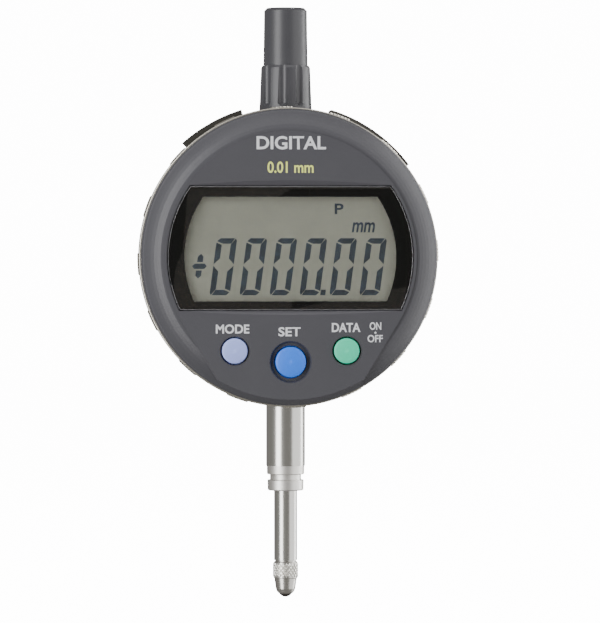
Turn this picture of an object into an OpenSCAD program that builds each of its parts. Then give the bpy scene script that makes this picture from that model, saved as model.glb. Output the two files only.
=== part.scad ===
// Digital dial indicator with a plunger spindle, a turning display head and a plain stem.
// The spindle runs along Z, the display faces -Y, and the origin is on the spindle axis
// at the middle of the straight length of the stem. All sizes are in millimetres.

/* [Head] */
// Height of the head's centre above the middle of the stem
head_z = 36; // [35.8:0.1:36.2]
// Outer diameter of the face shell
bezel_d = 60; // [59.8:0.1:60.4]
// Outer diameter of the metal grip ring behind the face shell
grip_d = 60.8; // [60.6:0.1:61]
// Distance from the spindle axis to the flat of the face
face_front = 16.2; // [16.2:0.05:16.4]
// Radius of the circle that bounds the flat of the face
flat_r = 25.5; // [25.2:0.1:25.7]
// Angle below horizontal at which the flat's edges leave that circle
flat_tangent = 31.5; // [28:0.5:34]

/* [Window] */
// Radius of the arcs that end the window's recess at its left and right
window_r = 24.95; // [24.8:0.05:25]
// Height of the recess's top edge above the head's centre
window_top = 14.5; // [14.3:0.1:14.6]
// Depth of the recess's bottom edge below the head's centre
window_bottom = 10.8; // [10.7:0.1:11]
// Gap between the recess and the window in it
window_gap = 0.3; // [0.25:0.05:0.35]
// Radius of the arcs that end the visible display area
view_r = 21.4; // [21:0.1:21.5]
// Height of the display area's top edge
view_top = 12.2; // [12:0.1:12.3]
// Depth of the display area's bottom edge
view_bottom = 8.9; // [8.8:0.1:9]

/* [Buttons] */
// Diameter of the two small buttons
small_button_d = 5.08; // [5:0.02:5.2]
// Diameter of the middle button
large_button_d = 6.1; // [6:0.05:6.2]
// Sideways distance of the small buttons from the centre line
small_button_x = 11.3; // [11:0.1:11.5]
// Depth of the small buttons below the head's centre
small_button_z = 18.85; // [18.6:0.05:19]
// Depth of the middle button below the head's centre
large_button_z = 21.1; // [21:0.1:21.2]

/* [Case] */
// Outer diameter of the case behind the head
case_d = 56.8; // [56.6:0.1:56.9]
// Wall thickness of the case
case_wall = 1.8; // [1.7:0.05:1.85]
// Distance from the spindle axis to the flat back face
back_depth = 10; // [10:0.1:10.6]
// Outer radius of the battery tray's lug and the socket cover's lug
lug_r = 31.5; // [31.4:0.1:32]
// Direction in which the battery tray slides out, from +X
tray_angle = 119.5; // [119:0.5:121]
// Direction in which the data socket faces, from +X
socket_angle = 55; // [54:0.5:56]

/* [Stem and spindle] */
// Diameter of the clamping stem
stem_d = 8; // [7.99:0.005:8]
// Diameter of the spindle
spindle_d = 4.76; // [4.74:0.01:4.78]
// Travel of the spindle
travel = 12.7; // [10:0.1:12.7]
// Height of the contact ball's lowest point
tip_z = -33.7; // [-33.8:0.1:-33.6]
// Height of the top of the spindle cap
cap_top = 87; // [86.8:0.1:88]
// Number of flutes round the spindle cap
cap_flutes = 9; // [6:1:10]

/* [Hidden] */
$fn = 72;
fit = 0.04;                        // radial running clearance of the spindle in its bushes
hair = 0.1;                        // overshoot of a cut past the face it opens
bezel_r = bezel_d / 2;
case_r = case_d / 2;
cavity_r = case_r - case_wall;
stem_r = stem_d / 2;
spindle_r = spindle_d / 2;

// Depths along the head's axis, counted forwards from the spindle axis.
back_inner = -8;                   // back edge of the case
case_face = 5.2;                   // front face of the case
wall_in = 3.6;                     // inner side of the case's front wall
web_back = 5.6;                    // back of the grip ring
web_front = 7.2;                   // front of the grip ring's web
skirt_back = 10;                   // back edge of the face shell
boss_front = 7.5;                  // front of the boss that the head turns on
board_back = 9.6;                  // back of the display board
board_front = 10.8;                // front of the display board
panel_back = 12.1;                 // back of the display panel
panel_front = 14.1;                // front of the display panel
shell_in = 14.2;                   // inner side of the face shell's front wall
ledge = 15.2;                      // ledge that the window rests on
lug_back = -4.2;                   // back of the two lugs on the case
lug_front = 2.9;                   // front of the two lugs on the case

// The turning joint between head and case.
turn_r = 15;                       // radius of the boss that the head turns on
stop_track_r = 19.5;               // radius of the track that the stop pin runs in
stop_pin_r = 0.8;
stop_half_angle = 12;              // half the angle of the block that ends the track

// Screw places, as [x, height above the head's centre], and the cover screws' angle from their lug's middle.
back_screw_at = [for (a = [-135, -45, 15, 165]) [24.3 * cos(a), 24.3 * sin(a)]];
head_screw_at = [for (a = [90, 210, 330]) [24.4 * cos(a), 24.4 * sin(a)]];
retainer_screw_at = [for (a = [30, 150, 270]) [13.75 * cos(a), 13.75 * sin(a)]];
board_screw_at = [[-12.5, -14], [12.5, -14], [12.5, 12]];
rail_screw_at = [[7.75, -6.8], [7.75, 13]];
cover_screw_angle = 15.5;

// Heights on the stem and spindle.
stem_bottom = -6.7;
stem_shoulder = 6.7;
stem_seat = 11.4;                  // height of the seat under the stem's flange
stem_inner_top = 13;
shoulder_r = 4.5;
nose_bottom = -11.8;
spindle_bottom = -26.1;
spindle_top = 72;
cap_bottom = 65.4;
cap_shoulder = 75.2;
carrier_z = 28;                    // bottom of the scale carrier
carrier_h = 10;
spring_x = -8;
spring_low = 16.2;                 // height of the spring's lower anchor
spring_high = 33;                  // height of the spring's upper anchor
wire_r = 0.25;
coil_r = 1.4;

buttons = [[-small_button_x, -small_button_z], [0, -large_button_z], [small_button_x, -small_button_z]];

// Local frame of the head: x to the right, y up, z forwards out of the face.
module head_frame() { translate([0, 0, head_z]) rotate([90, 0, 0]) children(); }

// Local frame of a lug: x outwards from the head's centre at the given angle.
module radial_frame(angle) { head_frame() rotate(angle) children(); }

// A disc between two depths of the head frame.
module disc(r, low, high) { translate([0, 0, low]) cylinder(r = r, h = high - low); }

// A ring between two depths of the head frame.
module ring(outer, inner, low, high) {
    difference() {
        disc(outer, low, high);
        disc(inner, low - hair, high + hair);
    }
}

// A ring about the spindle axis between two heights.
module sleeve(outer, inner, low, high) {
    difference() {
        translate([0, 0, low]) cylinder(r = outer, h = high - low);
        translate([0, 0, low - hair]) cylinder(r = inner, h = high - low + 2 * hair);
    }
}

// A box given by two opposite corners.
module corner_box(a, b) { translate(a) cube(b - a); }

// An O-ring of round section about the local z axis.
module o_ring(r, section_r) { rotate_extrude() translate([r, 0]) circle(section_r, $fn = 24); }

// A countersunk screw whose head ends flush at z = 0, with its shank towards +z.
module countersunk(head_r, shank_r, head_h, length) {
    difference() {
        union() {
            cylinder(r1 = head_r, r2 = shank_r, h = head_h);
            cylinder(r = shank_r, h = length);
        }
        for (turn = [0, 90])
            rotate(turn) translate([-head_r * 0.55, -0.16, -hair])
                cube([head_r * 1.1, 0.32, hair + head_h * 0.6]);
    }
}

// A pan-head screw whose head stands on z = 0, with its shank towards -z.
module pan_screw(head_r, shank_r, head_h, length) {
    difference() {
        union() {
            cylinder(r = head_r, h = head_h);
            translate([0, 0, -length]) cylinder(r = shank_r, h = length);
        }
        for (turn = [0, 90])
            rotate(turn) translate([-head_r * 0.6, -0.14, head_h * 0.4]) cube([head_r * 1.2, 0.28, head_h]);
    }
}

// A ring sector between two radii, as an outline about the local x axis.
module sector(outer, inner, half_angle) {
    difference() {
        intersection() {
            circle(outer);
            polygon([[0, 0], for (s = [-1, 1]) 2 * outer * [cos(half_angle), s * sin(half_angle)]]);
        }
        circle(inner);
    }
}

// Outline of a display-shaped opening: arcs at the sides, straight above and below.
module window_outline(r, top, bottom) {
    intersection() {
        circle(r);
        translate([-r - 1, -bottom]) square([2 * r + 2, top + bottom]);
    }
}

// Outline of the flat of the face: a circle whose lower sides run straight to the rim.
module flat_outline() {
    reach = sqrt(bezel_r * bezel_r - flat_r * flat_r);
    near = [for (s = [-1, 1]) [s * flat_r * cos(flat_tangent), -flat_r * sin(flat_tangent)]];
    far = [for (s = [-1, 1]) near[(s + 1) / 2]
        + reach * [-s * sin(flat_tangent), -cos(flat_tangent)]];
    circle(flat_r);
    intersection() {
        circle(bezel_r - 0.3);
        polygon([near[0], far[0], [0, -2 * bezel_r], far[1], near[1]]);
    }
}

// ---- Case ----

// Slots in the case wall for the tray and the socket.
module case_slots() {
    radial_frame(tray_angle) corner_box([17, -6.8, -3.05], [30, 6.8, 3.05]);
    radial_frame(socket_angle) corner_box([21.8, -5.8, -3.3], [30, 5.8, 3.05]);
}

module case() {
    color("#3f3f44") difference() {
        union() {
            difference() {
                union() {
                    head_frame() disc(case_r, back_inner, case_face);
                    translate([0, 0, 59.6]) cylinder(r = 5, h = 65 - 59.6);
                    translate([0, 0, 7.1]) cylinder(r = 5, h = 4);
                }
                head_frame() disc(cavity_r, back_inner - hair, wall_in);
            }
            head_frame() {
                ring(turn_r, 12.5, case_face - hair, boss_front);
                for (p = back_screw_at) translate(p) disc(2.1, back_inner, wall_in + hair);
                for (p = board_screw_at) translate(p) disc(1.6, -4.4, wall_in + hair);
            }
            translate([0, 0, 60]) cylinder(r = 4.6, h = 4);
            intersection() {
                translate([0, 0, 9]) cylinder(r = 6, h = stem_seat - 9);
                head_frame() disc(case_r, -7, wall_in + hair);
            }
        }
        case_slots();
        head_frame() {
            translate([10.9, 0]) disc(1.4, wall_in - hair, case_face + hair);
            translate([24.4, 0]) disc(1.8, wall_in - hair, case_face + hair);
            for (p = back_screw_at) translate(p) disc(1, back_inner - hair, -2);
            for (p = board_screw_at) translate(p) disc(0.7, -4.5, 1);
            for (p = retainer_screw_at) translate(p) disc(0.6, case_face + 0.3, boss_front + hair);
            for (p = rail_screw_at) translate(p) disc(0.6, wall_in - hair, case_face - 0.5);
            translate([0, -stop_track_r]) disc(stop_pin_r, 4, case_face + hair);
            translate([spring_x, spring_low - head_z]) disc(0.7, wall_in - hair, case_face - 0.5);
            ring(27.8, 26.9, 4.6, case_face + hair);
        }
        radial_frame(socket_angle) for (s = [-1, 1])
            rotate(s * cover_screw_angle) translate([26, 0, -0.6]) rotate([0, 90, 0])
                cylinder(r = 0.7, h = 4);
        translate([0, 0, 6.9]) cylinder(r = shoulder_r, h = stem_seat - 6.3);
        translate([0, 0, 59.9]) cylinder(r = 3.4, h = 6);
    }
}

module back_plate() {
    color("#3f3f44") head_frame() difference() {
        disc(case_r, -back_depth, back_inner - 0.3);
        for (p = back_screw_at) translate(p) {
            disc(1, -back_depth - hair, back_inner);
            translate([0, 0, -back_depth]) cylinder(r1 = 2, r2 = 1, h = 1);
        }
    }
}

module back_gasket() {
    color("#202020") head_frame() difference() {
        ring(case_r - 0.3, cavity_r + 0.2, back_inner - 0.3, back_inner);
        for (p = back_screw_at) translate(p) disc(1.2, back_inner - 1, back_inner + 1);
    }
}

module back_screws() {
    color("#b8b8bb") head_frame() for (p = back_screw_at)
        translate([p[0], p[1], -back_depth]) countersunk(2, 1, 1, 7);
}

module stem() {
    color("#c9cacc") difference() {
        union() {
            translate([0, 0, stem_bottom]) cylinder(r = stem_r, h = stem_shoulder - stem_bottom + 1);
            translate([0, 0, stem_shoulder]) cylinder(r = shoulder_r, h = stem_seat - stem_shoulder + 0.5);
            intersection() {
                translate([0, 0, stem_seat]) cylinder(r = 5.4, h = stem_inner_top - stem_seat);
                translate([-7, -3.5, stem_seat - 1]) cube([14, 7, 4]);
            }
        }
        translate([0, 0, stem_bottom - hair]) cylinder(r = 3.2, h = stem_inner_top - stem_bottom + 1);
    }
}

// Screwed nose of the stem, with the groove that a lifting fork grips.
module stem_nose() {
    color("#c9cacc") rotate_extrude() polygon([
        [2.75, stem_bottom], [3.87, stem_bottom], [3.83, -8.35], [3.7, -8.5],
        [3.2, -8.5], [3.2, -9.6], [3.6, -9.6], [3.72, -9.75],
        [3.68, -11.6], [3.5, nose_bottom], [2.75, nose_bottom]]);
}

module dust_seal() {
    color("#232323") sleeve(2.75, spindle_r + fit, -11.3, -9);
}

module lower_bush() {
    color("#b58a4a") sleeve(3.2, spindle_r + fit, stem_bottom, 4.5);
}

module upper_bush() {
    color("#b58a4a") sleeve(3.4, spindle_r + fit, 60, 65);
}

module cap_nipple() {
    color("#c9cacc") sleeve(3.7, 2.8, 65, 71);
}

module cap_seal() {
    color("#202020") sleeve(5, 3.8, 65, cap_bottom);
}

// Fluted screw cap over the spindle's upper end, closed at the top.
module spindle_cap() {
    flute_r = 1.2;
    color("#5f5f66") difference() {
        rotate_extrude() polygon([
            [0, cap_bottom], [5.2, cap_bottom], [5.4, cap_bottom + 0.3], [5.05, cap_shoulder - 0.5],
            [4.75, cap_shoulder], [4.55, cap_shoulder], [4.4, cap_top - 0.6], [3.8, cap_top],
            [0, cap_top]]);
        for (i = [0:cap_flutes - 1])
            rotate(i * 360 / cap_flutes - 100) translate([5.85, 0, cap_bottom]) {
                translate([0, 0, 2]) cylinder(r = flute_r, h = 20);
                translate([0, 0, 1.4]) cylinder(r1 = 0.6, r2 = flute_r, h = 0.6);
            }
        translate([0, 0, cap_bottom - hair]) cylinder(r = 3.8, h = 6.2 + hair);
        translate([0, 0, cap_bottom]) cylinder(r = 2.8, h = cap_top - 1.3 - cap_bottom);
    }
}

// ---- Inside the case ----

module reader_board() {
    color("#2c5b3c") head_frame() difference() {
        union() {
            corner_box([-15, -17.5, -5.4], [15, 10, -4.4]);
            corner_box([2, 9.9, -5.4], [15, 15, -4.4]);
        }
        for (p = board_screw_at) translate(p) disc(0.75, -6, -4);
    }
}

module reader_chip() {
    color("#1c1c1e") head_frame() {
        corner_box([-4.5, -6, -6.4], [4.5, 3, -5.4]);
        corner_box([7, -10, -6.2], [12, -6.5, -5.4]);
        corner_box([-12, 4, -6.4], [-8, 6, -5.4]);
    }
}

module reader_plate() {
    color("#c8a24a") head_frame() corner_box([-4.2, -12, -4.4], [4.2, 6, -4.1]);
}

module board_screws() {
    color("#b8b8bb") head_frame() for (p = board_screw_at)
        translate([p[0], p[1], -5.4]) rotate([180, 0, 0]) pan_screw(1.4, 0.7, 0.8, 6);
}

// Upright rail whose slot keeps the spindle from turning.
module guide_rail() {
    color("#9b9ca0") head_frame() difference() {
        union() {
            corner_box([6.5, -9, -2.6], [9, 15, wall_in]);
        }
        corner_box([6.4, -4.6, -1.06], [9.1, 11.4, 1.06]);
        for (p = rail_screw_at) translate(p) disc(0.6, -3, 4);
    }
}

module rail_screws() {
    color("#b8b8bb") head_frame() for (p = rail_screw_at)
        translate([p[0], p[1], -2.6]) rotate([180, 0, 0]) pan_screw(1.1, 0.6, 0.7, 7);
}

module spring_post() {
    color("#b8b8bb") translate([spring_x, 0, spring_low]) rotate([90, 0, 0]) union() {
        translate([0, 0, -1.2]) cylinder(r = 0.7, h = 5.9);
        translate([0, 0, -1.6]) cylinder(r = 1, h = 0.4);
    }
}

// Close-wound extension spring with a loop at each end.
module return_spring() {
    loop_r = 1.15;
    first = spring_low + loop_r + wire_r;
    last = spring_high - loop_r - wire_r;
    coils = 34;
    color("#8c8d90") translate([spring_x, 0, 0]) union() {
        rotate_extrude() for (i = [0:coils - 1])
            translate([coil_r, first + (last - first) * i / (coils - 1)]) circle(wire_r, $fn = 16);
        for (z = [spring_low, spring_high])
            translate([0, 0, z]) rotate([90, 0, 0]) o_ring(loop_r, wire_r);
        for (z = [first, last])
            translate([-coil_r, -wire_r, z - wire_r]) cube([2 * coil_r, 2 * wire_r, 2 * wire_r]);
    }
}

// Rubber sleeve in the mouth of the stem that the spindle's collar comes to rest on.
module stop_bumper() {
    color("#202020") sleeve(3.2, 2.6, stem_inner_top - 1.6, stem_inner_top + 0.85);
}

// Leaf on each flat side of the battery, clear of the tray's way out.
module battery_contacts() {
    color("#c9b27a") radial_frame(tray_angle) {
        difference() {
            union() {
                corner_box([19, -1.5, 3.15], [25.5, 1.5, 3.35]);
                corner_box([15.4, -1.5, 3.15], [19.1, 1.5, 3.35]);
                corner_box([15.4, -1.5, -4.4], [15.6, 1.5, 3.35]);
            }
        }
        corner_box([16.2, 3, -3.35], [25, 5, -3.15]);
        corner_box([16.2, 3, -4.4], [16.4, 5, -3.15]);
    }
}

module data_socket() {
    color("#1d1d20") radial_frame(socket_angle) difference() {
        corner_box([22, -5.6, -3.2], [26.9, 5.6, 2.95]);
        corner_box([24, -4.6, -1.8], [27, 4.6, 1.6]);
    }
}

// Removable cover of the data socket, with its plug and two screw places.
module socket_cover() {
    half = 18;
    color("#4a4842") radial_frame(socket_angle) difference() {
        union() {
            translate([0, 0, lug_back]) linear_extrude(lug_front - lug_back)
                sector(lug_r, case_r + 0.1, half);
            corner_box([25, -4.4, -1.6], [28.8, 4.4, 1.4]);
        }
        for (s = [-1, 1]) rotate(s * cover_screw_angle) translate([0, 0, -0.6]) rotate([0, 90, 0]) {
            translate([0, 0, 28]) cylinder(r = 0.7, h = 5);
            translate([0, 0, lug_r - 0.9]) cylinder(r = 1.3, h = 2);
        }
    }
}

module cover_screws() {
    color("#b8b8bb") radial_frame(socket_angle) for (s = [-1, 1])
        rotate(s * cover_screw_angle) translate([lug_r - 0.9, 0, -0.6]) rotate([0, 90, 0])
            pan_screw(1.2, 0.7, 0.7, 4);
}

// Flat flexible cable, coiled as a clock spring so that the head can turn.
module flex_cable() {
    turns = 2;
    steps = 42;
    ribbon = 0.16;
    radius = function(i) 6 + 5 * i / steps;
    angle = function(i) 360 * turns * i / steps;
    color("#c07a28") head_frame() union() {
        translate([0, 0, 5.5]) linear_extrude(2.2) polygon(concat(
            [for (i = [0:steps]) radius(i) * [cos(angle(i)), sin(angle(i))]],
            [for (i = [steps:-1:0]) (radius(i) - ribbon) * [cos(angle(i)), sin(angle(i))]]));
        corner_box([10.78, -0.9, -4.4], [11.06, 0.9, 7.5]);
    }
}

module retainer_ring() {
    color("#9b9ca0") head_frame() difference() {
        ring(17.5, 11.5, boss_front, 8.4);
        for (p = retainer_screw_at) translate(p) {
            disc(0.6, 7, 9);
            translate([0, 0, 7.75]) cylinder(r1 = 0.6, r2 = 1.3, h = 0.65);
        }
    }
}

module retainer_screws() {
    color("#b8b8bb") head_frame() for (p = retainer_screw_at)
        translate([p[0], p[1], 8.4]) rotate([180, 0, 0]) countersunk(1.3, 0.6, 0.65, 2.8);
}

module glide_washer() {
    color("#e8e6df") head_frame() ring(18, turn_r + 0.05, case_face, case_face + 0.3);
}

module stop_pin() {
    color("#b8b8bb") head_frame() translate([0, -stop_track_r]) disc(stop_pin_r, 4, 6.2);
}

module head_seal() {
    color("#202020") head_frame() ring(27.8, 26.9, 4.6, case_face + 0.33);
}

// ---- Spindle group ----

module spindle() {
    color("#d4d5d7") difference() {
        union() {
            translate([0, 0, spindle_bottom]) cylinder(r = spindle_r, h = spindle_top - spindle_bottom - 0.3);
            translate([0, 0, spindle_top - 0.3]) cylinder(r1 = spindle_r, r2 = spindle_r - 0.3, h = 0.3);
        }
        translate([0, 0, spindle_bottom - hair]) cylinder(r = 1.25, h = 6);
        translate([0, 0, spindle_top - 5]) cylinder(r = 1.05, h = 5 + hair);
    }
}

// Screwed contact point: stud, neck, grip collar and taper down to the ball's seat.
module contact_point() {
    color("#c4c5c7") difference() {
        rotate_extrude() polygon([
            [0, -20.6], [1.25, -20.6], [1.25, spindle_bottom], [2.15, spindle_bottom],
            [2.15, -26.4], [2.3, -26.4], [2.43, -26.55], [2.43, -29.75],
            [2.3, -29.9], [2.28, -30.1], [2, -32], [1.75, -32.6], [1.38, -32.95], [0, -32.95]]);
        translate([0, 0, tip_z + 1.5]) sphere(1.5);
    }
}

module contact_ball() {
    color("#45464a") translate([0, 0, tip_z + 1.5]) sphere(1.5);
}

module scale_carrier() {
    color("#a9aaad") difference() {
        union() {
            translate([-4.5, -3, carrier_z]) cube([9, 6.4, carrier_h]);
            translate([-9.2, -1.6, spring_high - 1]) cube([5, 0.9, 2]);
            translate([spring_x, 1.4, spring_high]) rotate([90, 0, 0]) cylinder(r = 0.7, h = 2.4);
            translate([spring_x, 1.7, spring_high]) rotate([90, 0, 0]) cylinder(r = 1, h = 0.4);
        }
        translate([0, 0, carrier_z - hair]) cylinder(r = spindle_r, h = carrier_h + 2 * hair);
        for (z = [2.5, 7.5]) translate([0, -2, carrier_z + z]) rotate([90, 0, 0]) cylinder(r = 0.8, h = 2);
        translate([4, 0, 33]) rotate([0, 90, 0]) cylinder(r = 0.8, h = 2);
    }
}

module scale_strip() {
    color("#2f6f8f") translate([-4, 3.4, 20]) cube([8, 0.5, 24]);
}

module carrier_screws() {
    color("#38383c") for (z = [2.5, 7.5])
        translate([0, -3.4, carrier_z + z]) rotate([-90, 0, 0]) difference() {
            cylinder(r = 0.8, h = 1);
            translate([0, 0, -hair]) cylinder(r = 0.4, h = 0.6, $fn = 6);
        }
}

module guide_pin() {
    color("#d4d5d7") translate([4, 0, 33]) rotate([0, 90, 0]) cylinder(r = 0.8, h = 5.2);
}

module guide_roller() {
    color("#b58a4a") translate([6.6, 0, 33]) rotate([0, 90, 0]) difference() {
        cylinder(r = 1.02, h = 2.3);
        translate([0, 0, -hair]) cylinder(r = 0.8, h = 3);
    }
}

module stop_collar() {
    color("#9b9ca0") sleeve(3.4, spindle_r, stem_inner_top + 0.95, stem_inner_top + 2.9);
}

// ---- Head ----

// Outer surface of the face shell without its flat, as a turned profile.
module shell_profile() {
    polygon(concat(
        [[0, skirt_back], [bezel_r, skirt_back], [bezel_r, 12.6]],
        [for (a = [15:15:60]) [bezel_r - 1 + cos(a), 12.6 + sin(a)]],
        [for (i = [1:6]) [29.5 - 4.0 * i / 6, 13.47 + 2.43 * sin(90 * i / 6)]],
        [[0, 15.9]]));
}

// Cut that leaves a shallow slope between the face's flat and the window's straight edges.
module window_slope(edge, rise) {
    chord = 20.8;
    arc_r = (chord * chord + rise * rise) / (2 * rise);
    intersection() {
        translate([0, rise - arc_r, face_front - 0.45])
            cylinder(r1 = arc_r - rise, r2 = arc_r + 0.1, h = 0.5);
        translate([-24, 0, face_front - 1]) cube([48, rise + 1, 2]);
    }
}

module face_shell() {
    color("#5a5a60") head_frame() difference() {
        union() {
            difference() {
                union() {
                    rotate_extrude() shell_profile();
                    intersection() {
                        translate([0, 0, 13]) linear_extrude(face_front - 13) flat_outline();
                        union() {
                            translate([0, 0, 15])
                                cylinder(r1 = bezel_r - 0.2, r2 = 28.7, h = face_front - 15);
                            disc(bezel_r - 0.3, 12, 15);
                        }
                    }
                }
                rotate_extrude() polygon([[0, skirt_back - hair], [28.2, skirt_back - hair], [28.2, 12.8],
                    [26.8, shell_in], [0, shell_in]]);
            }
            for (p = head_screw_at) translate(p) disc(2, web_front, shell_in + hair);
        }
        translate([0, 0, ledge]) linear_extrude(2) window_outline(window_r, window_top, window_bottom);
        translate([0, 0, shell_in - hair]) linear_extrude(2)
            window_outline(view_r + 1.4, view_top + 0.9, view_bottom + 0.9);
        translate([0, window_top, 0]) window_slope(window_top, 1.0);
        mirror([0, 1, 0]) translate([0, window_bottom, 0]) window_slope(window_bottom, 0.8);
        for (i = [0, 2]) translate(buttons[i]) disc(small_button_d / 2 + 0.38, shell_in - 1, 18);
        translate(buttons[1]) {
            disc(large_button_d / 2 + 0.3, shell_in - 1, 18);
            translate([0, 0, ledge]) cylinder(r1 = 3.85, r2 = 4.25, h = face_front - ledge + 0.01);
        }
        for (p = head_screw_at) translate(p) disc(0.8, web_front - 1, 11.5);
    }
}

// Metal ring that is gripped to turn the head, with the web that runs on the case.
module grip_ring() {
    color("#b9b6ae") head_frame() difference() {
        union() {
            ring(grip_d / 2, case_r + 0.4, web_back, skirt_back);
            ring(case_r + 0.5, turn_r + 0.06, web_back, web_front);
        }
        difference() {
            ring(stop_track_r + 1, stop_track_r - 1, web_back - hair, web_back + 0.9);
            translate([0, 0, web_back - 1]) linear_extrude(3) rotate(90) sector(25, 10, stop_half_angle);
        }
        for (p = head_screw_at) translate(p) {
            disc(0.8, web_back - hair, web_front + hair);
            translate([0, 0, web_back]) cylinder(r1 = 1.6, r2 = 0.8, h = 0.8);
        }
    }
}

module window_lens() {
    color("#d8dcda", 0.35) head_frame() translate([0, 0, ledge + 0.2]) linear_extrude(0.75)
        window_outline(window_r - window_gap, window_top - window_gap, window_bottom - window_gap);
}

module window_mask() {
    color("#15130f") head_frame() difference() {
        translate([0, 0, ledge]) linear_extrude(0.2)
            window_outline(window_r - window_gap, window_top - window_gap, window_bottom - window_gap);
        translate([0, 0, ledge - 1]) linear_extrude(2) window_outline(view_r, view_top, view_bottom);
    }
}

module lcd_panel() {
    color("#8f9184") head_frame() corner_box([-21.7, -9.6, panel_back], [21.7, 12.9, panel_front]);
}

module lcd_reflector() {
    color("#c8c8c4") head_frame() corner_box([-20.5, -7.8, panel_back - 0.2], [20.5, 11, panel_back]);
}

module lcd_frame() {
    color("#3a3a3c") head_frame() difference() {
        corner_box([-22.4, -10.1, board_front], [22.4, 13.6, 13.9]);
        corner_box([-21.7, -9.6, board_front - 1], [21.7, 12.9, 15]);
    }
}

module contact_strips() {
    color("#d0a0a8") head_frame() {
        corner_box([-20, 11.2, board_front], [20, 12.6, panel_back]);
        corner_box([-20, -9.4, board_front], [20, -8, panel_back]);
    }
}

module display_board() {
    color("#2c5b3c") head_frame() difference() {
        disc(26.6, board_back, board_front);
        for (p = head_screw_at) translate(p) disc(2.1, board_back - 1, board_front + 1);
    }
}

module display_chip() {
    color("#1c1c1e") head_frame() {
        corner_box([-4, -4, board_back - 0.8], [4, 4, board_back]);
        corner_box([-8, 5, board_back - 0.7], [-4, 8, board_back]);
    }
}

module dome_switches() {
    color("#d4d5d7") head_frame() for (p = buttons) translate(p) disc(1.8, board_front, board_front + 0.3);
}

// Rubber sheet with a raised dome behind each button.
module button_mat() {
    color("#3c3c3e") head_frame() difference() {
        union() {
            translate([0, 0, board_front]) linear_extrude(0.5) intersection() {
                circle(25.8);
                translate([-15.2, -25]) square([30.4, 11]);
            }
            for (p = buttons)
                translate([p[0], p[1], board_front + 0.4]) cylinder(r1 = 2.6, r2 = 1.6, h = 0.7);
        }
        for (p = buttons) translate(p) disc(2, board_front - hair, board_front + 0.4);
    }
}

module head_screws() {
    color("#b8b8bb") head_frame() for (p = head_screw_at)
        translate([p[0], p[1], web_back]) countersunk(1.6, 0.8, 0.8, 5.6);
}

// Push button: domed head, retaining flange and a short post behind it.
module push_button(at, diameter, proud) {
    flange_r = diameter / 2 + 0.8;
    head_frame() translate(at) union() {
        disc(1.4, 12.5, 13.2);
        disc(flange_r, 13.1, panel_front);
        intersection() {
            disc(diameter / 2, 14, 20);
            translate([0, 0, face_front + proud - 12]) sphere(12);
        }
    }
}

module mode_button() { color("#aab4dc") push_button(buttons[0], small_button_d, 0.7); }
module set_button() { color("#4a87dc") push_button(buttons[1], large_button_d, 0.6); }
module data_button() { color("#5cc8a5") push_button(buttons[2], small_button_d, 0.7); }

// ---- Battery tray ----

battery_u = 23.6;                  // distance of the battery's centre from the head's centre
battery_r = 5.8;

module battery_tray() {
    color("#2e2c28") radial_frame(tray_angle) difference() {
        union() {
            translate([0, 0, lug_back]) linear_extrude(lug_front - lug_back)
                sector(lug_r, case_r + 0.1, 12.5);
            corner_box([17.2, -6.6, -2.8], [29, 6.6, 2.8]);
        }
        translate([battery_u, 0, -3.2]) cylinder(r = battery_r + 0.05, h = 6.2);
    }
}

module battery_cell() {
    color("#c9cacc") radial_frame(tray_angle) translate([battery_u, 0, -2.7]) union() {
        cylinder(r = battery_r, h = 4.5);
        cylinder(r = battery_r - 1, h = 5.4);
    }
}

case();
back_plate();
back_gasket();
back_screws();
stem();
stem_nose();
dust_seal();
lower_bush();
upper_bush();
cap_nipple();
cap_seal();
spindle_cap();
reader_board();
reader_chip();
reader_plate();
board_screws();
guide_rail();
rail_screws();
spring_post();
return_spring();
stop_bumper();
battery_contacts();
data_socket();
socket_cover();
cover_screws();
flex_cable();
retainer_ring();
retainer_screws();
glide_washer();
stop_pin();
head_seal();
spindle();
contact_point();
contact_ball();
scale_carrier();
scale_strip();
carrier_screws();
guide_pin();
guide_roller();
stop_collar();
face_shell();
grip_ring();
window_lens();
window_mask();
lcd_panel();
lcd_reflector();
lcd_frame();
contact_strips();
display_board();
display_chip();
dome_switches();
button_mat();
head_screws();
mode_button();
set_button();
data_button();
battery_tray();
battery_cell();
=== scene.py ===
# %% [markdown]
# # A digital dial indicator, dressed in Blender
# The mechanical model arrives from CAD with every piece in its place. This lesson gives each
# piece its material, and adds what is too fine or too soft for CAD: knurling, printed
# lettering, the display's segments, the moulded edges and a real coil spring.

# %% Load the frame
import math

import bmesh
import bpy
from mathutils import Matrix, Vector


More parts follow.
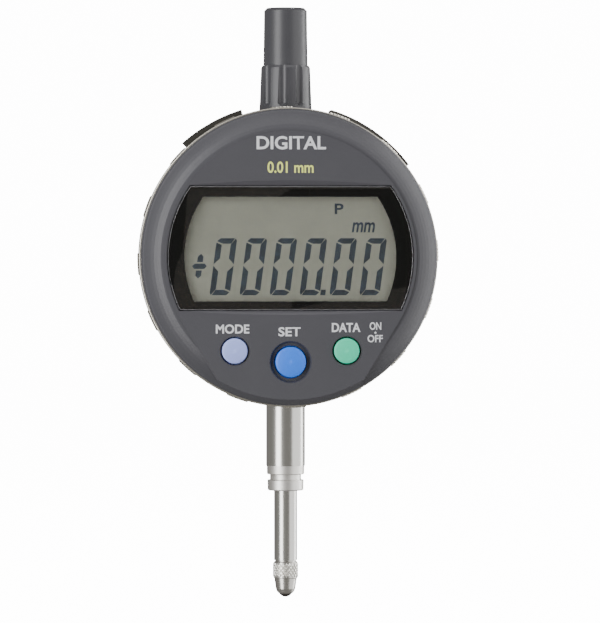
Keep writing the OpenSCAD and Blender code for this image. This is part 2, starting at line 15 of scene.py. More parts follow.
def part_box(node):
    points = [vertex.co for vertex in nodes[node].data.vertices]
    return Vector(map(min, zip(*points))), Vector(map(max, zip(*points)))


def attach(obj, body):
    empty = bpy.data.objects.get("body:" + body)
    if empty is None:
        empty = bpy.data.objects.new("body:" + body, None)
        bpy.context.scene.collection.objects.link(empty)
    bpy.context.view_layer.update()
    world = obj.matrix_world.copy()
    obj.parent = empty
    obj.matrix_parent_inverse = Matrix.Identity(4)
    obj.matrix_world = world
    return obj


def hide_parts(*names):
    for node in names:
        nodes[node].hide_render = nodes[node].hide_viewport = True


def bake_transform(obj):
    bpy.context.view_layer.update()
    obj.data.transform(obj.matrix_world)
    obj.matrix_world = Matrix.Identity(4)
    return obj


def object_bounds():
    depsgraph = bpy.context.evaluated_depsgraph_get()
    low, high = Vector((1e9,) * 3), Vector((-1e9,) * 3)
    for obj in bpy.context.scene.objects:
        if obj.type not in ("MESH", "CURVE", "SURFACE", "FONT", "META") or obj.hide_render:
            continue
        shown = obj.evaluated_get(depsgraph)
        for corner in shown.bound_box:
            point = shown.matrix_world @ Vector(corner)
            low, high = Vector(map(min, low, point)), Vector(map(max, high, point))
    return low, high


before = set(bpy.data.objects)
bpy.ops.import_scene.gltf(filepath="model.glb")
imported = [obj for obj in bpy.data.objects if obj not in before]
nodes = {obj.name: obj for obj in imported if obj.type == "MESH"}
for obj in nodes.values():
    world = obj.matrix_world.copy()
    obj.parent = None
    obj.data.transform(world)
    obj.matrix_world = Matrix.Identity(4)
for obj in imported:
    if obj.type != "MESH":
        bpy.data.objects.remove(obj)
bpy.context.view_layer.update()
print("CAD nodes:", len(nodes))

# %% [markdown]
# ## Working sizes
# Everything is in metres. The head's centre, the face's depth, the grip ring's radius and the
# panel's depth are read from the CAD pieces themselves, so the dressing follows if the model changes.

# %% Places read from the model
MM = 0.001
ring_low, ring_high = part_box("grip_ring")
shell_low, shell_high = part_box("face_shell")
panel_low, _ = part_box("lcd_panel")
head_height = (shell_low[2] + shell_high[2]) / 2
face_y = shell_low[1]
panel_y = panel_low[1]
ring_radius = (ring_high[0] - ring_low[0]) / 2
head_centre = Vector((0, 0, head_height))
print("head centre", round(head_height, 4), "face at", round(face_y, 4))

# %% [markdown]
# ## The camera
# The instrument is seen from in front and a little to its left, through a long lens from far
# away, which keeps a measuring tool's outlines nearly parallel. The camera stands level with
# the display, and looks slightly down so that the whole instrument fills the frame.

# %% Camera
camera_distance = 900 * MM
camera_turn = math.radians(-3.7)
camera_height = head_height + 2 * MM
aim_right = 2.97 * MM
aim_down = 11.15 * MM

camera_data = bpy.data.cameras.new("camera")
camera_data.sensor_width = 36
camera_data.lens = 253.7
camera_data.clip_start = 0.01
camera = bpy.data.objects.new("camera", camera_data)
bpy.context.scene.collection.objects.link(camera)
bpy.context.scene.camera = camera
camera.location = (
    camera_distance * math.sin(camera_turn),
    -camera_distance * math.cos(camera_turn),
    camera_height,
)
right_hand = Vector((math.cos(camera_turn), math.sin(camera_turn), 0))
aim = head_centre + right_hand * aim_right - Vector((0, 0, aim_down))
camera.rotation_euler = (aim - camera.location).to_track_quat("-Z", "Y").to_euler()
print("camera at", [round(c, 3) for c in camera.location])

# %% [markdown]
# ## Small helpers for materials
# Colours are written as sRGB hex values, as a paint chart gives them, and one function turns
# them to the linear values that the shader wants. A second function adds one node, with its
# settings and its links, and every pattern below is built with it.

# %% Colour and node helpers
def linear(hex_colour):
    """RGBA in linear light from an sRGB hex colour."""
    channels = [int(hex_colour[i : i + 2], 16) / 255 for i in (1, 3, 5)]
    return [c / 12.92 if c <= 0.04045 else ((c + 0.055) / 1.055) ** 2.4 for c in channels] + [1]


def add_node(material, kind, inputs=None, **settings):
    """One shader node with its settings, and its inputs set or linked."""
    node = material.node_tree.nodes.new(kind)
    for name, value in settings.items():
        setattr(node, name, value)
    for name, value in (inputs or {}).items():
        if isinstance(value, bpy.types.NodeSocket):
            material.node_tree.links.new(value, node.inputs[name])
        else:
            node.inputs[name].default_value = value
    return node


def new_material(name, colour, metallic, roughness):
    """A material, its shader, and the object coordinates that its patterns use."""
    material = bpy.data.materials.new(name)
    material.use_nodes = True
    shader = material.node_tree.nodes["Principled BSDF"]
    shader.inputs["Base Color"].default_value = linear(colour)
    shader.inputs["Metallic"].default_value = metallic
    shader.inputs["Roughness"].default_value = roughness
    place = add_node(material, "ShaderNodeTexCoord").outputs["Object"]
    return material, shader, place


def set_input(material, shader, name, socket):
    """Links a pattern to one input of the shader."""
    material.node_tree.links.new(socket, shader.inputs[name])


# %% [markdown]
# ## Grain and mottle
# Two patterns serve nearly every moulded surface. The mottle shifts the colour very slightly
# over several millimetres, as pigment and handling do. The grain is the texture etched into
# the mould. It could be modelled, but bump is enough at this size. Real grain is about
# 0.05 mm, too fine to show here, so it is drawn coarser.

# %% Patterns for moulded surfaces
def mottle(material, shader, place, dark, light, size_mm):
    """Colour that drifts between two close shades over the given size."""
    noise = add_node(material, "ShaderNodeTexNoise",
                     {"Vector": place, "Scale": 1 / (size_mm * MM), "Detail": 3.0})
    blend = add_node(material, "ShaderNodeMix", {"Factor": noise.outputs["Fac"]}, data_type="RGBA")
    blend.inputs["A"].default_value = linear(dark)
    blend.inputs["B"].default_value = linear(light)
    set_input(material, shader, "Base Color", blend.outputs["Result"])


def grain(material, shader, place, size_mm, depth_mm, rough_low, rough_high):
    """Fine mould texture, as bump and as a small change of gloss."""
    noise = add_node(material, "ShaderNodeTexNoise",
                     {"Vector": place, "Scale": 1 / (size_mm * MM), "Detail": 4.0, "Roughness": 0.6})
    bump = add_node(material, "ShaderNodeBump",
                    {"Height": noise.outputs["Fac"], "Distance": depth_mm * MM, "Strength": 0.5})
    set_input(material, shader, "Normal", bump.outputs["Normal"])
    gloss = add_node(material, "ShaderNodeMapRange",
                     {"Value": noise.outputs["Fac"], "To Min": rough_low, "To Max": rough_high})
    set_input(material, shader, "Roughness", gloss.outputs["Result"])


def moulded(name, dark, light, roughness, grain_mm=0.18, depth_mm=0.01):
    """A moulded plastic or rubber: close shades, fine grain, and a slight change of gloss."""
    material, shader, place = new_material(name, dark, 0.0, roughness)
    mottle(material, shader, place, dark, light, 6.0)
    grain(material, shader, place, grain_mm, depth_mm, roughness - 0.05, roughness + 0.06)
    return material, shader


# %% [markdown]
# ## The moulded and painted surfaces
# The face shell is ABS with a satin grey paint, which gives the eye a soft even sheen. The
# cap is the same colour, moulded through, and a little glossier. The case behind is darker
# and more matt. The two lugs are unpainted, nearly black mouldings with a warmer tint, and
# all the seals are nitrile rubber, the dullest surface here. Epoxy and PTFE lie inside.

# %% Moulded materials
satin_grey_paint, _ = moulded("satin_grey_paint", "#434348", "#47474c", 0.42)
grey_cap_abs, _ = moulded("grey_cap_abs", "#3d3d41", "#424246", 0.36)
dark_case_abs, _ = moulded("dark_case_abs", "#37383c", "#3f4045", 0.5)
cover_abs, _ = moulded("cover_abs", "#43423d", "#4b4944", 0.5)
tray_abs, _ = moulded("tray_abs", "#26251f", "#2e2c27", 0.45)
nitrile_rubber, _ = moulded("nitrile_rubber", "#161616", "#1e1e1d", 0.65, 0.25)
silicone_red, _ = moulded("silicone_red", "#7a2a20", "#893226", 0.55)
epoxy_black, _ = moulded("epoxy_black", "#17171a", "#1f1f22", 0.5, 0.3)
ptfe_white, _ = moulded("ptfe_white", "#dddbd3", "#e6e4dc", 0.4)
print("moulded materials made")

# %% [markdown]
# ## The buttons
# Each button is a satin silicone key. Silicone lets a little light in under its skin, which
# softens its shading, so a trace of subsurface scattering is used on each.

# %% Button materials
def silicone_key(name, dark, light):
    """Coloured silicone with soft shading."""
    material, shader = moulded(name, dark, light, 0.42, 0.2, 0.004)
    shader.inputs["Subsurface Weight"].default_value = 0.15
    shader.inputs["Subsurface Radius"].default_value = (0.6 * MM, 0.6 * MM, 0.6 * MM)
    shader.inputs["Subsurface Scale"].default_value = 1.0
    return material


lavender_silicone = silicone_key("lavender_silicone", "#9cabec", "#a4b2f0")
blue_silicone = silicone_key("blue_silicone", "#2673ea", "#307bee")
green_silicone = silicone_key("green_silicone", "#2fcfa2", "#3ad5ab")
print("button materials made")

# %% [markdown]
# ## Turned and ground metal
# The stem and spindle are ground stainless steel, the nose and the contact point are turned,
# and the grip ring is nickel plated. Grinding and turning leave hair-fine rings round the
# axis. A noise pattern that reads only the place along the axis is the same all round it, so
# it draws those rings, and they change the gloss more than the colour. Real rings are about
# 0.02 mm apart, too fine to show, so they are drawn coarser.

# %% Turned metals
def turned_metal(name, colour, roughness, ring_mm, axis, depth_mm=0.003):
    """Metal with fine rings round the given axis, 'Y' or 'Z', through the model."""
    material, shader, place = new_material(name, colour, 1.0, roughness)
    parts = add_node(material, "ShaderNodeSeparateXYZ", {"Vector": place})
    along = parts.outputs[axis]
    line = add_node(material, "ShaderNodeCombineXYZ", {"Z": along})
    rings = add_node(material, "ShaderNodeTexNoise",
                     {"Vector": line.outputs["Vector"], "Scale": 1 / (ring_mm * MM), "Detail": 5.0})
    gloss = add_node(material, "ShaderNodeMapRange",
                     {"Value": rings.outputs["Fac"], "To Min": roughness - 0.07, "To Max": roughness + 0.09})
    set_input(material, shader, "Roughness", gloss.outputs["Result"])
    bump = add_node(material, "ShaderNodeBump",
                    {"Height": rings.outputs["Fac"], "Distance": depth_mm * MM, "Strength": 0.2})
    set_input(material, shader, "Normal", bump.outputs["Normal"])
    return material


# Brighter and smoother for ground pieces, rougher for turned ones, dark for hard carbide.
ground_stainless = turned_metal("ground_stainless", "#c9c8c4", 0.22, 0.2, "Z")
turned_stainless = turned_metal("turned_stainless", "#bfbdb8", 0.28, 0.12, "Z")
bright_steel = turned_metal("bright_steel", "#f2f0ea", 0.38, 0.12, "Z")
fine_turned_steel = turned_metal("fine_turned_steel", "#e2e0dc", 0.42, 0.1, "Z")
satin_nickel = turned_metal("satin_nickel", "#cdc9bf", 0.3, 0.15, "Y")
polished_carbide = turned_metal("polished_carbide", "#68635f", 0.12, 0.3, "Z", 0.0005)
zinc_plate = turned_metal("zinc_plate", "#b9bbbd", 0.3, 0.2, "Y")
black_oxide = turned_metal("black_oxide", "#3a3a3d", 0.42, 0.2, "Y")
sintered_bronze = turned_metal("sintered_bronze", "#b08a50", 0.42, 0.15, "Z")
gold_flash = turned_metal("gold_flash", "#d0b06a", 0.25, 0.25, "Y")
milled_aluminium = turned_metal("milled_aluminium", "#b4b6b8", 0.36, 0.3, "Z")
print("metals made")

# %% [markdown]
# ## The window and the display
# The window is clear acrylic with a black border printed on its back. The ink lies against
# the acrylic, so it has no gloss of its own, and only the window's front shines. The window's
# chamfered edge is coloured pale grey, a painted highlight that stands for the light the chamfer
# reflects as a thin pale line. Behind it lies the liquid crystal panel, a grey-green reflective
# glass. The panel's segments are dark slate, and are drawn as real pieces just in front of it.

# %% Display materials
clear_acrylic, acrylic_shader, _ = new_material("clear_acrylic", "#ffffff", 0.0, 0.03)
acrylic_shader.inputs["Transmission Weight"].default_value = 1.0
acrylic_shader.inputs["IOR"].default_value = 1.49
# Pale grey for the window's bevel: a painted highlight in place of the light its chamfer reflects.
painted_edge_highlight, edge_highlight_shader, edge_highlight_place = new_material("painted_edge_highlight", "#e2e2e6", 0.0, 0.45)
mottle(painted_edge_highlight, edge_highlight_shader, edge_highlight_place, "#dedee2", "#e6e6ea", 5.0)

black_print, print_shader, print_place = new_material("black_print", "#14100c", 0.0, 0.6)
print_shader.inputs["Specular IOR Level"].default_value = 0.0
mottle(black_print, print_shader, print_place, "#130f0b", "#17130e", 8.0)

lcd_glass, lcd_shader, lcd_place = new_material("lcd_glass", "#a3a597", 0.0, 0.35)
mottle(lcd_glass, lcd_shader, lcd_place, "#a0a294", "#a6a89a", 9.0)

lcd_segment, segment_shader, segment_place = new_material("lcd_segment", "#2a3744", 0.0, 0.4)
mottle(lcd_segment, segment_shader, segment_place, "#273441", "#2d3b49", 5.0)

grey_ink, ink_shader, ink_place = new_material("grey_ink", "#d3d4d8", 0.0, 0.5)
mottle(grey_ink, ink_shader, ink_place, "#cfd0d4", "#d8d9dd", 3.0)
lime_ink, lime_shader, lime_place = new_material("lime_ink", "#dfe77a", 0.0, 0.5)
mottle(lime_ink, lime_shader, lime_place, "#dbe374", "#e3eb80", 3.0)
print("display materials made")

# %% [markdown]
# ## Circuit boards and film
# Glass epoxy boards have a green solder mask over a pattern of copper traces. A brick pattern
# at the pitch of real traces stands for the copper, slightly lighter under the mask. The
# flexible cable is amber polyimide film, and the scale strip carries fine copper bars.

# %% Board and film materials
def solder_mask(name, mask, trace, pitch_mm):
    """Green board with faint traces under the mask."""
    material, shader, place = new_material(name, mask, 0.0, 0.3)
    turned = add_node(material, "ShaderNodeMapping", {"Vector": place})
    turned.inputs["Rotation"].default_value = (math.radians(90), 0, 0)
    traces = add_node(material, "ShaderNodeTexBrick", {
        "Vector": turned.outputs["Vector"], "Scale": 1 / (pitch_mm * MM * 4),
        "Mortar Size": 0.03, "Color1": linear(mask), "Color2": linear(mask), "Mortar": linear(trace)})
    set_input(material, shader, "Base Color", traces.outputs["Color"])
    return material


green_board = solder_mask("green_board", "#1f5a38", "#3f8a58", 0.8)
polyimide_film, film_shader, film_place = new_material("polyimide_film", "#b06c24", 0.0, 0.25)
mottle(polyimide_film, film_shader, film_place, "#a86420", "#bb7830", 2.0)
bar_pitch_mm = 2.5
scale_coat, scale_shader, scale_place = new_material("scale_coat", "#2f6f8f", 0.0, 0.2)
scale_bars = add_node(scale_coat, "ShaderNodeTexWave",
                      {"Vector": scale_place, "Scale": 1 / (bar_pitch_mm * MM)}, bands_direction="Z")
scale_mix = add_node(scale_coat, "ShaderNodeMix", {"Factor": scale_bars.outputs["Fac"]}, data_type="RGBA")
scale_mix.inputs["A"].default_value = linear("#1d4c66")
scale_mix.inputs["B"].default_value = linear("#c9a24e")
set_input(scale_coat, scale_shader, "Base Color", scale_mix.outputs["Result"])
print("board materials made")

# %% [markdown]
# ## Give every CAD piece its material
# The table names the finish of each piece. What it misses is printed, so that nothing keeps
# a plain colour.

# %% Assign the materials
finish_of = {
    dark_case_abs: ["case", "back_plate"],
    nitrile_rubber: ["back_gasket", "dust_seal", "cap_seal", "stop_bumper", "head_seal", "button_mat"],
    zinc_plate: ["back_screws", "board_screws", "rail_screws", "cover_screws", "retainer_screws",
                 "head_screws", "spring_post", "dome_switches"],
    ground_stainless: ["stem", "spindle", "guide_pin", "stop_pin", "battery_cell", "return_spring"],
    fine_turned_steel: ["stem_nose"],
    turned_stainless: ["contact_point", "cap_nipple"],
    polished_carbide: ["contact_ball"],
    sintered_bronze: ["lower_bush", "upper_bush", "guide_roller"],
    grey_cap_abs: ["spindle_cap"],
    green_board: ["reader_board", "display_board"],
    epoxy_black: ["reader_chip", "display_chip", "data_socket", "lcd_frame"],
    gold_flash: ["reader_plate", "battery_contacts"],
    milled_aluminium: ["guide_rail", "retainer_ring", "scale_carrier", "stop_collar"],
    cover_abs: ["socket_cover"],
    polyimide_film: ["flex_cable"],
    ptfe_white: ["glide_washer", "lcd_reflector"],
    scale_coat: ["scale_strip"],
    black_oxide: ["carrier_screws"],
    satin_grey_paint: ["face_shell"],
    satin_nickel: ["grip_ring"],
    clear_acrylic: ["window_lens"],
    black_print: ["window_mask"],
    lcd_glass: ["lcd_panel"],
    silicone_red: ["contact_strips"],
    lavender_silicone: ["mode_button"],
    blue_silicone: ["set_button"],
    green_silicone: ["data_button"],
    tray_abs: ["battery_tray"],
}
dressed = set()
for material, names in finish_of.items():
    for name in names:
        nodes[name].data.materials.clear()
        nodes[name].data.materials.append(material)
        dressed.add(name)
missing = set(nodes) - dressed
print("dressed", len(dressed), "pieces, missing", sorted(missing))

# %% [markdown]
# ## Soft edges
# No real edge is perfectly sharp. Moulded edges have a radius of a few tenths of a
# millimetre, and machined ones a small break. A bevel catches a thin highlight there. The
# faces from CAD don't share their corners, so a weld joins them before the bevel.

# %% Bevels
def break_edges(name, width_mm, segments=2, angle=35):
    """Rounds the sharp edges of a CAD piece without changing its mesh."""
    weld = nodes[name].modifiers.new("join_faces", "WELD")
    weld.merge_threshold = 0.001 * MM
    bevel = nodes[name].modifiers.new("edge_break", "BEVEL")
    bevel.width = width_mm * MM
    bevel.segments = segments
    bevel.limit_method = "ANGLE"
    bevel.angle_limit = math.radians(angle)
    bevel.harden_normals = True
    return bevel


for name, width in {"socket_cover": 0.35, "battery_tray": 0.35, "back_plate": 0.3, "case": 0.2,
                    "grip_ring": 0.25, "mode_button": 0.25, "set_button": 0.25,
                    "data_button": 0.25}.items():
    break_edges(name, width)
# The window's bevel takes the second material, the pale painted highlight along its edge.
nodes["window_lens"].data.materials.append(painted_edge_highlight)
lens_edge = break_edges("window_lens", 0.22, segments=1)
lens_edge.material = 1
print("edges rounded")

# %% [markdown]
# ## Knurling
# The grip ring has sixteen patches of diamond knurling, and the contact point has a knurled
# collar for the fingers. A knurl is a lattice of raised diamonds with a groove between them,
# so one function lays diamonds with sloping sides and flat tops over a cylinder, alternate
# rows shifted by half a pitch.

# %% Knurl builder
def knurled_band(name, point_at, columns, rows, height, top_share, material):
    """Raised diamonds on a grid. point_at(u, v, lift) gives the place of a grid point."""
    mesh = bmesh.new()
    middles = [(c + 0.5, r + 0.5) for r in range(rows) for c in range(columns)]
    middles += [(c, r) for r in range(1, rows) for c in range(1, columns)]
    for u, v in middles:
        around = ((0.5, 0), (0, 0.5), (-0.5, 0), (0, -0.5))
        base = [mesh.verts.new(point_at(u + a, v + b, 0.0)) for a, b in around]
        top = [mesh.verts.new(point_at(u + a * top_share, v + b * top_share, height)) for a, b in around]
        mesh.faces.new(top)
        for i in range(4):
            j = (i + 1) % 4
            mesh.faces.new((base[i], base[j], top[j], top[i]))
    bmesh.ops.remove_doubles(mesh, verts=mesh.verts, dist=1e-7)
    bmesh.ops.recalc_face_normals(mesh, faces=mesh.faces)
    data = bpy.data.meshes.new(name)
    mesh.to_mesh(data)
    mesh.free()
    data.materials.append(material)
    piece = bpy.data.objects.new(name, data)
    bpy.context.scene.collection.objects.link(piece)
    return piece


# %% [markdown]
# ## The grip ring's patches
# The ring's knurling is rolled in sixteen short patches, and the metal between them is left
# smooth. The real diamonds are finer, and are drawn coarser here so that they show.

# %% Knurled patches on the grip ring
patch_count = 16
first_patch = 2.6
patch_angle = math.radians(8.6)
patch_columns = 6
patch_rows = 5
patch_height = 0.2 * MM
patch_back = ring_high[1] - 0.35 * MM
patch_front = ring_low[1] + 0.3 * MM
for i in range(patch_count):
    middle = math.radians(first_patch + 360 / patch_count * i)

    def on_ring(u, v, lift, middle=middle):
        angle = middle + patch_angle * (u / patch_columns - 0.5)
        radius = ring_radius + 0.01 * MM + lift
        depth = patch_back + (patch_front - patch_back) * v / patch_rows
        return Vector((radius * math.cos(angle), depth, head_height + radius * math.sin(angle)))

    patch = knurled_band(f"grip_knurl_{i}", on_ring, patch_columns, patch_rows,
                         patch_height, 0.45, satin_nickel)
    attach(patch, "head")
print("knurled patches:", patch_count)

# %% [markdown]
# ## The contact point's collar
# The contact point is unscrewed by hand, so its collar is knurled all round. Its bright
# diamonds stand a little proud of the turned cone below.

# %% Knurled collar on the contact point
collar_low = -29.7 * MM
collar_high = -26.6 * MM
collar_radius = 2.43 * MM
collar_columns = 22
collar_rows = 3
collar_height = 0.16 * MM


def on_collar(u, v, lift):
    angle = 2 * math.pi * u / collar_columns
    radius = collar_radius + 0.005 * MM + lift
    return Vector((radius * math.cos(angle), radius * math.sin(angle),
                   collar_low + (collar_high - collar_low) * v / collar_rows))


collar = knurled_band("contact_knurl", on_collar, collar_columns, collar_rows,
                      collar_height, 0.5, bright_steel)
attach(collar, "spindle")
print("knurled collar made")

# %% [markdown]
# ## Printed lettering
# The words by the buttons are printed in light grey ink. Each is a text curve made into a
# flat mesh, a hair in front of the face. The built-in letter is thin, so its outline is then
# moved outwards to the weight of bold engraving. Above the window the face carries only the
# kind of instrument and its resolution.

# %% Lettering
ink_thickness = 0.006 * MM


def thicken_strokes(mesh, amount):
    """Moves the outlines of flat letters outwards, along the mitre at each corner."""
    form = bmesh.new()
    form.from_mesh(mesh)
    bmesh.ops.remove_doubles(form, verts=form.verts, dist=1e-7)
    moves = []
    for corner in form.verts:
        normals = []
        for edge in corner.link_edges:
            if edge.is_boundary:
                inside = edge.link_faces[0].calc_center_median() - edge.verts[0].co
                along = (edge.verts[1].co - edge.verts[0].co).normalized()
                normals.append((along * inside.dot(along) - inside).normalized())
        if len(normals) == 2:
            spread = max(1 + normals[0].dot(normals[1]), 0.3)
            moves.append((corner, (normals[0] + normals[1]) * amount / spread))
    for corner, move in moves:
        corner.co += move
    form.to_mesh(mesh)
    form.free()


def lettering(name, words, x_mm, z_mm, height_mm, width_mm, weight_mm, material,
              depth=face_y - ink_thickness, slant=0.0):
    """Printed words centred at a place on the face, at a cap height and a width."""
    curve = bpy.data.curves.new(name, "FONT")
    curve.body = words
    curve.align_x = "CENTER"
    curve.align_y = "CENTER"
    curve.size = 1.0
    curve.shear = slant
    curve.resolution_u = 4
    piece = bpy.data.objects.new(name, curve)
    bpy.context.scene.collection.objects.link(piece)
    bpy.context.view_layer.update()
    tall = piece.dimensions.y
    wide = piece.dimensions.x
    scale_y = (height_mm - weight_mm) * MM / tall
    scale_x = (width_mm - weight_mm) * MM / wide
    piece.matrix_world = (Matrix.Translation((x_mm * MM, depth, head_height + z_mm * MM))
                          @ Matrix.Rotation(math.radians(90), 4, "X")
                          @ Matrix.Diagonal((scale_x, scale_y, scale_y, 1)))
    curve.materials.append(material)
    mesh = bpy.data.meshes.new_from_object(piece.evaluated_get(bpy.context.evaluated_depsgraph_get()))
    mesh.transform(piece.matrix_world)
    thicken_strokes(mesh, weight_mm * MM / 2)
    bpy.data.objects.remove(piece)
    flat = bpy.data.objects.new(name, mesh)
    bpy.context.scene.collection.objects.link(flat)
    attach(flat, "head")


for name, words, x, z, height, width, weight, ink in (
    ("print_mode", "MODE", -11.77, -14.53, 1.85, 6.75, 0.13, grey_ink),
    ("print_set", "SET", -0.26, -15.1, 1.85, 4.5, 0.13, grey_ink),
    ("print_data", "DATA", 11.1, -14.25, 1.85, 5.75, 0.13, grey_ink),
    ("print_on", "ON", 17.15, -13.95, 1.55, 2.35, 0.08, grey_ink),
    ("print_off", "OFF", 17.05, -16.48, 1.5, 3.1, 0.08, grey_ink),
    ("print_kind", "DIGITAL", 0.0, 22.9, 2.7, 14.0, 0.18, grey_ink),
    ("print_resolution", "0.01 mm", 0.0, 18.0, 2.3, 9.3, 0.1, lime_ink),
):
    lettering(name, words, x, z, height, width, weight, ink)
print("lettering printed")

# %% [markdown]
# ## The display's segments
# A seven-segment digit is made of slanted bars with mitred ends. Here all six digits show a
# zero, so the middle bar is left out and six bars stay, with a plus and minus sign before the
# digits and a decimal point after the fourth. A texture could show them, but thin plates keep
# their edges crisp at any distance.

# %% Segment builder
digit_width = 4.1
digit_bottom = -7.66
waist = 6.1
upper_rise = 5.4
digit_pitch = 6.06
first_digit = -16.3
bar = 1.15
slant = 0.133


def half_zero(rise):
    """Three bars of a zero's upper half, measured from its waist."""
    w = digit_width
    return [
        [(0.12, rise - 0.62), (0.75, rise), (w - 0.45, rise), (w - 1.05, rise - 1.1), (1.35, rise - 1.1)],
        [(0, rise - 0.85), (bar, rise - 1.35), (bar, 1.3), (0, 0.15)],
        [(w - 0.26, rise - 0.05), (w, rise - 0.5), (w, 0.15), (w - bar, 1.3), (w - bar, rise - 1.3)],
    ]


def zero_digit(left):
    """Outlines of the six lit bars of a zero whose lower left corner is at left."""
    upper = [[(x, waist + y) for x, y in shape] for shape in half_zero(upper_rise)]
    lower = [[(digit_width - x, waist - y) for x, y in shape] for shape in half_zero(waist)]
    return [[(left + x + slant * y, digit_bottom + y) for x, y in shape] for shape in upper + lower]


def slanted(x, z, points):
    """An outline about a place, leaning like the digits."""
    return [(x + a + slant * b, z + b) for a, b in points]


def flat_shapes(name, shapes, depth, thickness, material):
    """Thin plates of the given outlines, facing forwards."""
    mesh = bmesh.new()
    for shape in shapes:
        front = [mesh.verts.new((x * MM, depth, head_height + z * MM)) for x, z in shape]
        back = [mesh.verts.new((x * MM, depth + thickness, head_height + z * MM)) for x, z in shape]
        mesh.faces.new(front)
        mesh.faces.new(list(reversed(back)))
        for i in range(len(shape)):
            j = (i + 1) % len(shape)
            mesh.faces.new((front[i], back[i], back[j], front[j]))
    bmesh.ops.recalc_face_normals(mesh, faces=mesh.faces)
    data = bpy.data.meshes.new(name)
    mesh.to_mesh(data)
    mesh.free()
    data.materials.append(material)
    piece = bpy.data.objects.new(name, data)
    bpy.context.scene.collection.objects.link(piece)
    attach(piece, "head")
    return piece


# %% [markdown]
# ## The display's contents
# The bars lie a hair in front of the panel. The small marks at the upper right are the preset
# sign and the unit, and the dot between ON and OFF belongs to the printing on the face.

# %% Segments on the panel
segment_y = panel_y - 0.03 * MM
shapes = []
for i in range(6):
    shapes += zero_digit(first_digit + digit_pitch * i)
sign_x, sign_z = -18.3, -1.8
level_stroke = [(-1.48, 0), (-1.0, -0.53), (1.0, -0.53), (1.48, 0), (1.0, 0.53), (-1.0, 0.53)]
upper_stroke = [(-0.58, 0.85), (0.58, 0.85), (0.58, 1.9), (0, 2.5), (-0.58, 1.9)]
shapes.append(slanted(sign_x, sign_z, level_stroke))
shapes.append(slanted(sign_x, sign_z, upper_stroke))
shapes.append(slanted(sign_x, sign_z, [(-a, -b) for a, b in upper_stroke]))
shapes.append(slanted(6.67, -7.1, [(-0.5, -0.55), (0.5, -0.55), (0.5, 0.55), (-0.5, 0.55)]))
segments = flat_shapes("lcd_segments", shapes, segment_y, 0.02 * MM, lcd_segment)
for name, words, x, z, height, width, lean in (
    ("lcd_preset", "P", 9.8, 9.65, 2.15, 1.8, 0.0),
    ("lcd_unit", "mm", 14.75, 6.35, 2.05, 4.7, 0.2),
):
    lettering(name, words, x, z, height, width, 0.14, lcd_segment,
              depth=segment_y, slant=lean)
dot_x, dot_z, dot_radius = 17.12, -15.2, 0.22
dot = [(dot_x + dot_radius * math.cos(math.radians(a)), dot_z + dot_radius * math.sin(math.radians(a)))
       for a in range(0, 360, 30)]
dot_piece = flat_shapes("print_dot", [dot], face_y - ink_thickness, 0.004 * MM, grey_ink)
print("segments:", len(shapes))

# %% [markdown]
# ## The return spring
# The return spring is a close-wound coil of 0.5 mm wire with a loop at each end. Its lower
# loop stays on the post in the case, and its upper loop follows the spindle, so the real coil
# stretches between the two. Here it is drawn once, as a fixed piece in the CAD spring's place.

# %% Coil spring
spring_low, spring_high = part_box("return_spring")
spring_x = (spring_low[0] + spring_high[0]) / 2
wire = 0.25 * MM
coil_radius = 1.4 * MM
loop_radius = 1.15 * MM
low_eye = spring_low[2] + loop_radius + wire
high_eye = spring_high[2] - loop_radius - wire
coil_low = low_eye + loop_radius + wire
coil_high = high_eye - loop_radius - wire
turns = 26
steps = 20
loop_steps = 12
loop_step = 24
line = []
for i in range(loop_steps + 1):
    angle = math.radians(-180 + loop_step * i)
    line.append(Vector((spring_x + loop_radius * math.sin(angle), 0,
                        low_eye + loop_radius * math.cos(angle))))
for i in range(turns * steps + 1):
    angle = 2 * math.pi * i / steps
    line.append(Vector((spring_x + coil_radius * math.cos(angle), coil_radius * math.sin(angle),
                        coil_low + (coil_high - coil_low) * i / (turns * steps))))
for i in range(loop_steps + 1):
    angle = math.radians(132 - loop_step * i)
    line.append(Vector((spring_x + loop_radius * math.sin(angle), 0,
                        high_eye - loop_radius * math.cos(angle))))
coil_curve = bpy.data.curves.new("return_coil", "CURVE")
coil_curve.dimensions = "3D"
coil_curve.bevel_depth = wire * 0.9
coil_curve.bevel_resolution = 2
coil_curve.use_fill_caps = True
spline = coil_curve.splines.new("POLY")
spline.points.add(len(line) - 1)
for point, place in zip(spline.points, line):
    point.co = (*place, 1)
coil_object = bpy.data.objects.new("return_coil_line", coil_curve)
bpy.context.scene.collection.objects.link(coil_object)
coil_mesh = bpy.data.meshes.new_from_object(coil_object.evaluated_get(bpy.context.evaluated_depsgraph_get()))
bpy.data.objects.remove(coil_object)
coil = bpy.data.objects.new("return_coil", coil_mesh)
bpy.context.scene.collection.objects.link(coil)
coil_mesh.materials.append(ground_stainless)
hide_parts("return_spring")
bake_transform(coil)
print("spring turns:", turns)

# %% [markdown]
# ## Studio
# The instrument stands over a pale floor inside a white tent. Floor and tent shine by
# themselves and are seen by the camera only, so the metal reflects the dimmer room and the
# soft boxes instead, and keeps its contrast.

# %% Floor and tent
floor_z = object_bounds()[0][2] - 2 * MM
tent_radius = 1.6
studio_glow = 14.0


def glowing_white(name):
    """Matt white that also shines, so that it stays pale behind the instrument."""
    material, shader, place = new_material(name, "#f2f2f2", 0.0, 0.9)
    shader.inputs["Emission Color"].default_value = linear("#ffffff")
    shader.inputs["Emission Strength"].default_value = studio_glow
    mottle(material, shader, place, "#f0f0f0", "#f4f4f4", 80.0)
    return material


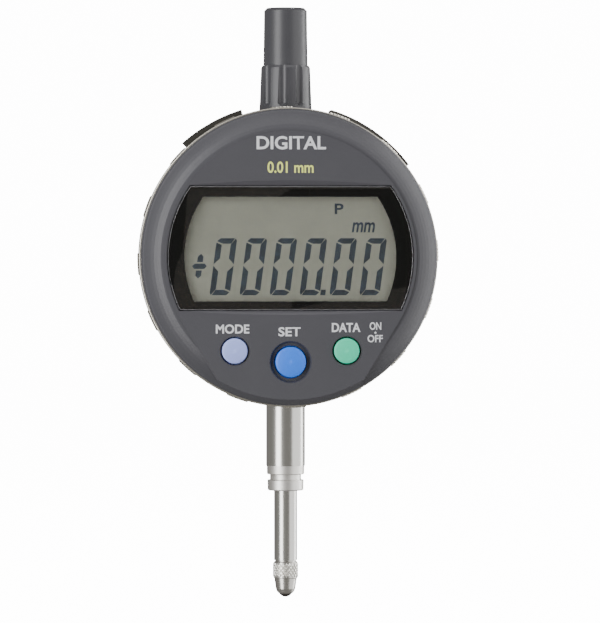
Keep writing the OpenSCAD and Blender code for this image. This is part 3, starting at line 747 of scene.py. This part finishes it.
def stage_piece(name, mesh, material):
    """A piece of the studio that only the camera sees."""
    data = bpy.data.meshes.new(name)
    mesh.to_mesh(data)
    mesh.free()
    data.materials.append(material)
    piece = bpy.data.objects.new(name, data)
    bpy.context.scene.collection.objects.link(piece)
    piece.visible_diffuse = False
    piece.visible_glossy = False
    piece.visible_transmission = False
    piece.visible_shadow = False
    return piece


floor_mesh = bmesh.new()
bmesh.ops.create_circle(floor_mesh, cap_ends=True, segments=64, radius=tent_radius,
                        matrix=Matrix.Translation((0, 0, floor_z)))
stage_piece("floor", floor_mesh, glowing_white("floor_white"))
tent_mesh = bmesh.new()
bmesh.ops.create_uvsphere(tent_mesh, u_segments=48, v_segments=24, radius=tent_radius,
                          matrix=Matrix.Translation((0, 0, floor_z)))
stage_piece("tent", tent_mesh, glowing_white("tent_white"))
print("floor and tent made, floor at", round(floor_z, 4))

# %% [markdown]
# ## Lights
# Tall soft boxes at the left and right draw long white bands down the round metal, a narrow
# strip behind the right side draws the last thin line at its edge, and a box above lights the
# face. The room itself is dim and slightly warm.

# %% Soft boxes and room
def soft_box(name, place, target, width, height, power):
    """A rectangular area light that faces its target."""
    data = bpy.data.lights.new(name, "AREA")
    data.shape = "RECTANGLE"
    data.size = width
    data.size_y = height
    data.energy = power
    light = bpy.data.objects.new(name, data)
    bpy.context.scene.collection.objects.link(light)
    light.location = place
    light.rotation_euler = (Vector(target) - Vector(place)).to_track_quat("-Z", "Y").to_euler()


soft_box("left_box", (-0.5, -0.48, 0.1), (0, 0, 0.02), 0.36, 1.0, 7.5)
soft_box("right_box", (0.5, -0.14, 0.1), (0, 0, 0.02), 0.85, 1.0, 4.2)
soft_box("right_strip", (0.55, 0.2, 0.1), (0, 0, 0.02), 0.2, 1.0, 3.0)
soft_box("top_box", (0, -0.3, 0.8), (0, 0, 0.03), 0.9, 0.5, 2.0)
world = bpy.data.worlds.new("studio")
world.use_nodes = True
world.node_tree.nodes["Background"].inputs["Color"].default_value = linear("#fffcf6")
world.node_tree.nodes["Background"].inputs["Strength"].default_value = 0.3
bpy.context.scene.world = world
print("studio lit")
